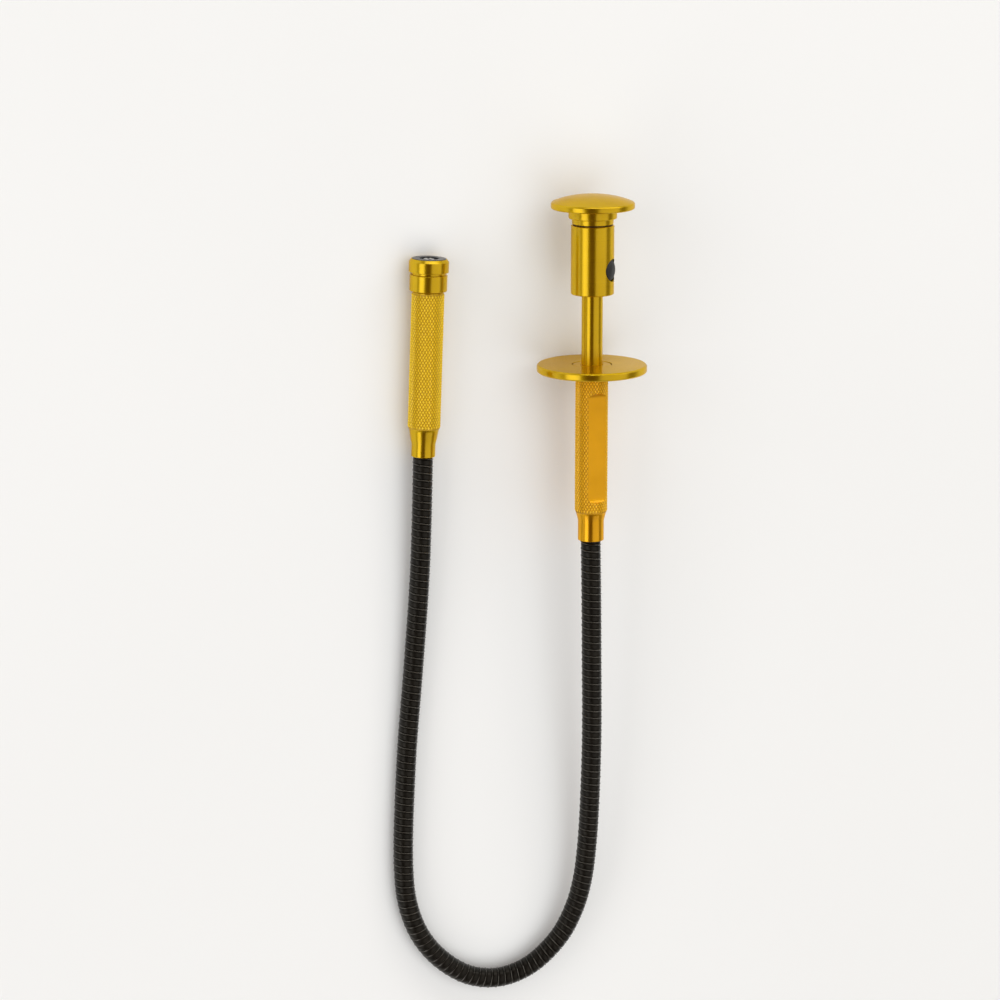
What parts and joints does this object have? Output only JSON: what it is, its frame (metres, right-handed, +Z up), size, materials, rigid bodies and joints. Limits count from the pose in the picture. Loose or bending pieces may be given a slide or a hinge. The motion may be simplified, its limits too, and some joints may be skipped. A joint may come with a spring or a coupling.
{
  "type": "flexible magnetic pickup tool",
  "caption": "Bendable pickup tool: thumb plunger with a light button, knurled grip with a finger flange, ribbed gooseneck shaft and a ring-magnet head with a spring claw.",
  "frame": {"origin": "centre of the tool's box in plan, on the surface that it lies on", "axes": "+Y along the handle towards the thumb knob, +X from the head's side to the handle's side, +Z up from the surface"},
  "size_m": [0.0907, 0.3006, 0.0398],
  "materials": {
    "anodised_gold": "satin gold anodising over turned aluminium; diamond knurl on both grips",
    "black_shaft": "semi-gloss black coat over wound steel strip",
    "bright_steel": "bright steel",
    "dark_magnet": "dark epoxy over a sintered magnet",
    "brass": "plain brass",
    "black_rubber": "matt black rubber",
    "white_liner": "natural acetal",
    "circuit_board": "green solder mask",
    "lamp_lens": "clear epoxy",
    "lead_insulation": "red insulation"
  },
  "bodies": {
    "handle": {"handle_grip": "anodised_gold", "finger_flange": "anodised_gold", "rod_guide_bush": "anodised_gold", "spring_seat_washer": "bright_steel", "plunger_return_spring": "bright_steel", "drive_cable": "bright_steel", "lamp_lead": "lead_insulation", "shaft_span_01": "black_shaft"},
    "plunger": {"plunger_rod": "anodised_gold", "rod_stop_clip": "bright_steel", "cable_crimp": "brass", "battery_barrel": "anodised_gold", "switch_board": "circuit_board", "push_switch": "bright_steel", "battery_contact": "brass", "battery_spring": "bright_steel", "button_cell_1": "bright_steel", "button_cell_2": "bright_steel", "button_cell_3": "bright_steel", "thumb_knob": "anodised_gold", "cap_seal": "black_rubber"},
    "light_button": {"light_button": "black_rubber"},
    "shaft_02": {"shaft_span_02": "black_shaft"},
    "shaft_03": {"shaft_span_03": "black_shaft"},
    "shaft_04": {"shaft_span_04": "black_shaft"},
    "shaft_05": {"shaft_span_05": "black_shaft"},
    "shaft_06": {"shaft_span_06": "black_shaft"},
    "shaft_07": {"shaft_span_07": "black_shaft"},
    "shaft_08": {"shaft_span_08": "black_shaft"},
    "shaft_09": {"shaft_span_09": "black_shaft"},
    "shaft_10": {"shaft_span_10": "black_shaft"},
    "shaft_11": {"shaft_span_11": "black_shaft"},
    "shaft_12": {"shaft_span_12": "black_shaft"},
    "shaft_13": {"shaft_span_13": "black_shaft"},
    "shaft_14": {"shaft_span_14": "black_shaft"},
    "shaft_15": {"shaft_span_15": "black_shaft"},
    "head": {"shaft_span_16": "black_shaft", "head_grip": "anodised_gold", "head_collar": "anodised_gold", "head_cap": "anodised_gold", "magnet_ring": "dark_magnet", "claw_guide_sleeve": "white_liner"},
    "claw": {"claw_carrier": "bright_steel", "lamp_stem": "bright_steel", "lamp": "lamp_lens"},
    "claw_finger_1": {"claw_finger_1": "bright_steel"},
    "claw_finger_2": {"claw_finger_2": "bright_steel"},
    "claw_finger_3": {"claw_finger_3": "bright_steel"},
    "claw_finger_4": {"claw_finger_4": "bright_steel"}
  },
  "joints": [
    {"name": "plunger_slide", "type": "slide", "parent": "handle", "child": "plunger", "axis": [0, -1, 0], "range_m": [0, 0.022], "stiffness_N_per_m": 180, "springref_m": -0.012, "deforming": ["plunger_return_spring", "drive_cable", "lamp_lead"]},
    {"name": "light_button_press", "type": "slide", "parent": "plunger", "child": "light_button", "axis": [-0.7604, 0, -0.6494], "range_m": [0, 0.0008], "stiffness_N_per_m": 1200, "springref_m": -0.0005},
    {"name": "shaft_bend_01", "type": "hinge", "parent": "handle", "child": "shaft_02", "pos_m": [0.02695, -0.1096, 0.00956], "axis": [0, 0, 1], "range_deg": [-0.4, 16.36]},
    {"name": "shaft_bend_02", "type": "hinge", "parent": "shaft_02", "child": "shaft_03", "pos_m": [0.02191, -0.1268, 0.00777], "axis": [0, 0, 1], "range_deg": [-0.4, 16.36]},
    {"name": "shaft_bend_03", "type": "hinge", "parent": "shaft_03", "child": "shaft_04", "pos_m": [0.01579, -0.13588, 0.00677], "axis": [0, 0, 1], "range_deg": [-0.4, 16.36]},
    {"name": "shaft_bend_04", "type": "hinge", "parent": "shaft_04", "child": "shaft_05", "pos_m": [0.00744, -0.14297, 0.00589], "axis": [0, 0, 1], "range_deg": [-0.4, 16.36]},
    {"name": "shaft_bend_05", "type": "hinge", "parent": "shaft_05", "child": "shaft_06", "pos_m": [0.00008, -0.14602, 0.00532], "axis": [0, 0, 1], "range_deg": [-0.4, 16.36]},
    {"name": "shaft_bend_06", "type": "hinge", "parent": "shaft_06", "child": "shaft_07", "pos_m": [-0.00685, -0.14684, 0.00488], "axis": [0, 0, 1], "range_deg": [-0.4, 16.36]},
    {"name": "shaft_bend_07", "type": "hinge", "parent": "shaft_07", "child": "shaft_08", "pos_m": [-0.01373, -0.14571, 0.00452], "axis": [0, 0, 1], "range_deg": [-0.4, 16.36]},
    {"name": "shaft_bend_08", "type": "hinge", "parent": "shaft_08", "child": "shaft_09", "pos_m": [-0.02094, -0.14231, 0.00418], "axis": [0, 0, 1], "range_deg": [-0.4, 16.36]},
    {"name": "shaft_bend_09", "type": "hinge", "parent": "shaft_09", "child": "shaft_10", "pos_m": [-0.03066, -0.13374, 0.00385], "axis": [0, 0, 1], "range_deg": [-0.4, 16.36]},
    {"name": "shaft_bend_10", "type": "hinge", "parent": "shaft_10", "child": "shaft_11", "pos_m": [-0.03698, -0.1236, 0.0038], "axis": [0, 0, 1], "range_deg": [-0.4, 16.36]},
    {"name": "shaft_bend_11", "type": "hinge", "parent": "shaft_11", "child": "shaft_12", "pos_m": [-0.04096, -0.10919, 0.0038], "axis": [0, 0, 1], "range_deg": [-0.4, 16.36]},
    {"name": "tip_bend_01", "type": "hinge", "parent": "shaft_12", "child": "shaft_13", "pos_m": [-0.04121, -0.07624, 0.0038], "axis": [0, 0, 1], "range_deg": [-1.2, 12]},
    {"name": "tip_bend_02", "type": "hinge", "parent": "shaft_13", "child": "shaft_14", "pos_m": [-0.03916, -0.04332, 0.00385], "axis": [0, 0, 1], "range_deg": [-1.2, 12]},
    {"name": "tip_bend_03", "type": "hinge", "parent": "shaft_14", "child": "shaft_15", "pos_m": [-0.03658, -0.00942, 0.0049], "axis": [0, 0, 1], "range_deg": [-1.2, 12]},
    {"name": "tip_bend_04", "type": "hinge", "parent": "shaft_15", "child": "head", "pos_m": [-0.035, 0.02352, 0.00637], "axis": [0, 0, 1], "range_deg": [-1.2, 12]},
    {"name": "claw_slide", "type": "slide", "parent": "head", "child": "claw", "axis": [0.0366, 0.9993, 0], "range_m": [0, 0.022]},
    {"name": "claw_finger_1_hinge", "type": "hinge", "parent": "claw", "child": "claw_finger_1", "pos_m": [-0.03122, 0.10772, 0.0059], "axis": [-0.7066, 0.0259, -0.7071], "range_deg": [0, 15.8]},
    {"name": "claw_finger_2_hinge", "type": "hinge", "parent": "claw", "child": "claw_finger_2", "pos_m": [-0.03362, 0.10781, 0.0059], "axis": [-0.7066, 0.0259, 0.7071], "range_deg": [0, 15.8]},
    {"name": "claw_finger_3_hinge", "type": "hinge", "parent": "claw", "child": "claw_finger_3", "pos_m": [-0.03362, 0.10781, 0.0083], "axis": [0.7066, -0.0259, 0.7071], "range_deg": [0, 15.8]},
    {"name": "claw_finger_4_hinge", "type": "hinge", "parent": "claw", "child": "claw_finger_4", "pos_m": [-0.03122, 0.10772, 0.0083], "axis": [0.7066, -0.0259, -0.7071], "range_deg": [0, 15.8]}
  ],
  "couplings": [
    {"joint": "claw_slide", "follows": "plunger_slide", "ratio": 1},
    {"joint": "claw_finger_1_hinge", "follows": "plunger_slide", "rad_per_m": 12.533},
    {"joint": "claw_finger_2_hinge", "follows": "plunger_slide", "rad_per_m": 12.533},
    {"joint": "claw_finger_3_hinge", "follows": "plunger_slide", "rad_per_m": 12.533},
    {"joint": "claw_finger_4_hinge", "follows": "plunger_slide", "rad_per_m": 12.533},
    {"joint": "shaft_bend_02", "follows": "shaft_bend_01", "ratio": 1},
    {"joint": "shaft_bend_03", "follows": "shaft_bend_01", "ratio": 1},
    {"joint": "shaft_bend_04", "follows": "shaft_bend_01", "ratio": 1},
    {"joint": "shaft_bend_05", "follows": "shaft_bend_01", "ratio": 1},
    {"joint": "shaft_bend_06", "follows": "shaft_bend_01", "ratio": 1},
    {"joint": "shaft_bend_07", "follows": "shaft_bend_01", "ratio": 1},
    {"joint": "shaft_bend_08", "follows": "shaft_bend_01", "ratio": 1},
    {"joint": "shaft_bend_09", "follows": "shaft_bend_01", "ratio": 1},
    {"joint": "shaft_bend_10", "follows": "shaft_bend_01", "ratio": 1},
    {"joint": "shaft_bend_11", "follows": "shaft_bend_01", "ratio": 1},
    {"joint": "tip_bend_02", "follows": "tip_bend_01", "ratio": 1},
    {"joint": "tip_bend_03", "follows": "tip_bend_01", "ratio": 1},
    {"joint": "tip_bend_04", "follows": "tip_bend_01", "ratio": 1}
  ]
}
